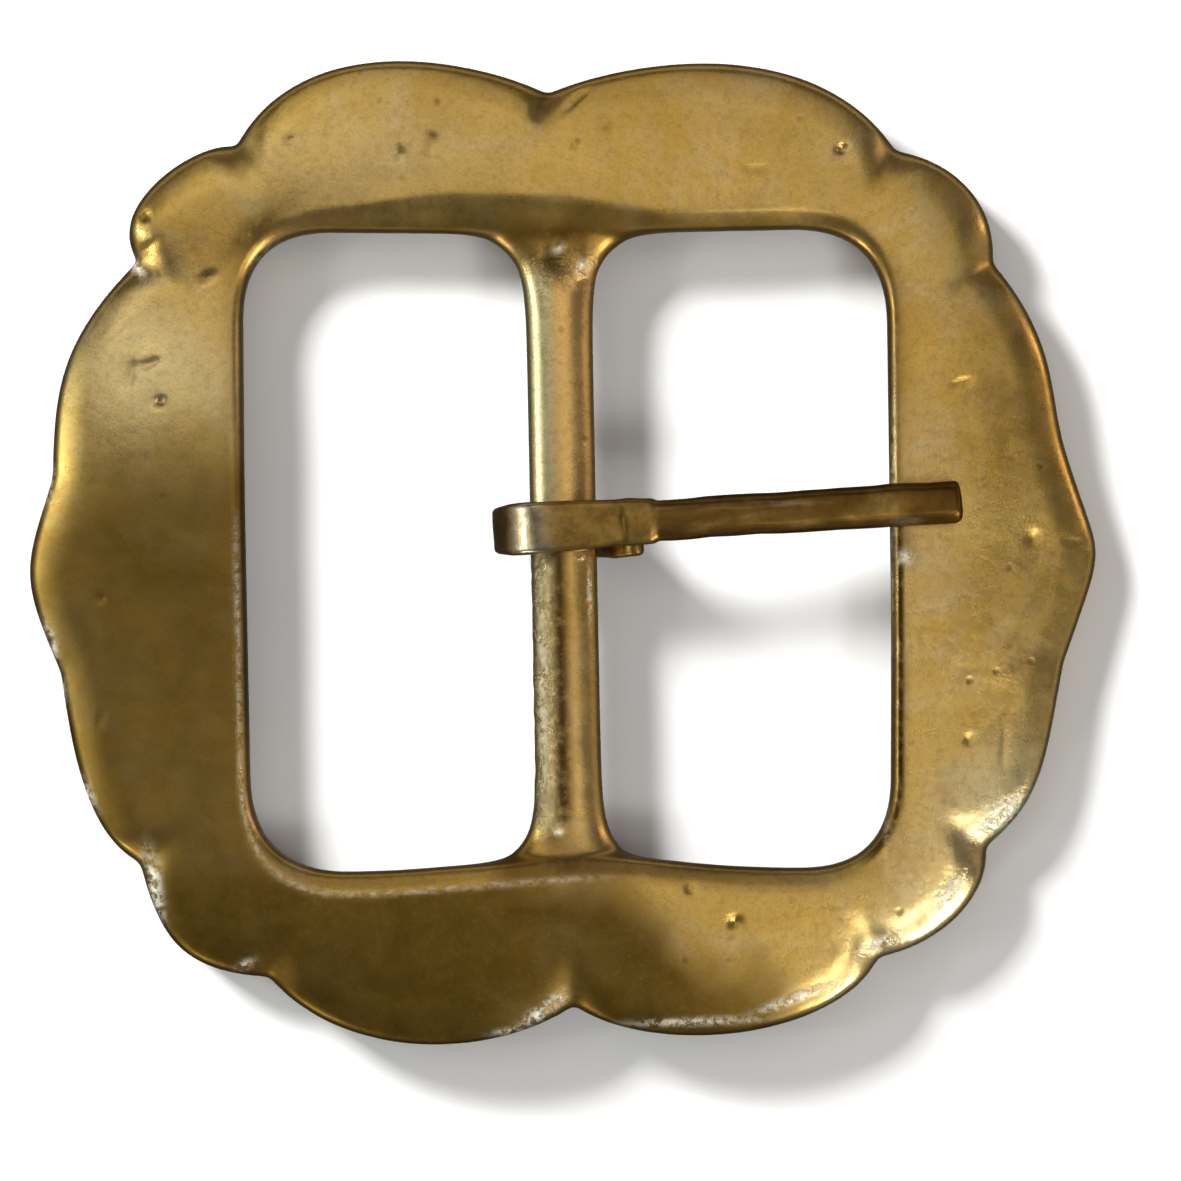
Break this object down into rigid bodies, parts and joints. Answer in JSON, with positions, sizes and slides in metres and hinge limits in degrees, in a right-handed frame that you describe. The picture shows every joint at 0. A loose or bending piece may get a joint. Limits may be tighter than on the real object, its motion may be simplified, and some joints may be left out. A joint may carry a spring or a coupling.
{
  "type": "belt buckle",
  "caption": "arched scalloped metal frame with a strap bar between two windows and a curled prong that swings over the bar, for closing a wide dress belt",
  "frame": {"origin": "centre of the buckle's outline, on the ground that it lies on", "axes": "+X along the belt, the way the prong points; +Y across the belt, along the bar; +Z out of the face seen in wear"},
  "size_m": [0.0765, 0.0704, 0.0086],
  "materials": {
    "cast_brass": "satin golden brass, hand polished, with casting pits and brown patina in the hollows",
    "aged_brass": "darkened brown-grey brass, worn bright along its edges"
  },
  "bodies": {
    "frame": {"frame": "cast_brass"},
    "prong": {"prong": "aged_brass"}
  },
  "joints": [
    {"name": "prong_swing", "type": "hinge", "parent": "frame", "child": "prong", "pos_m": [0.00005, 0.0017, 0.00415], "axis": [0, -1, 0], "range_deg": [0, 167]}
  ]
}
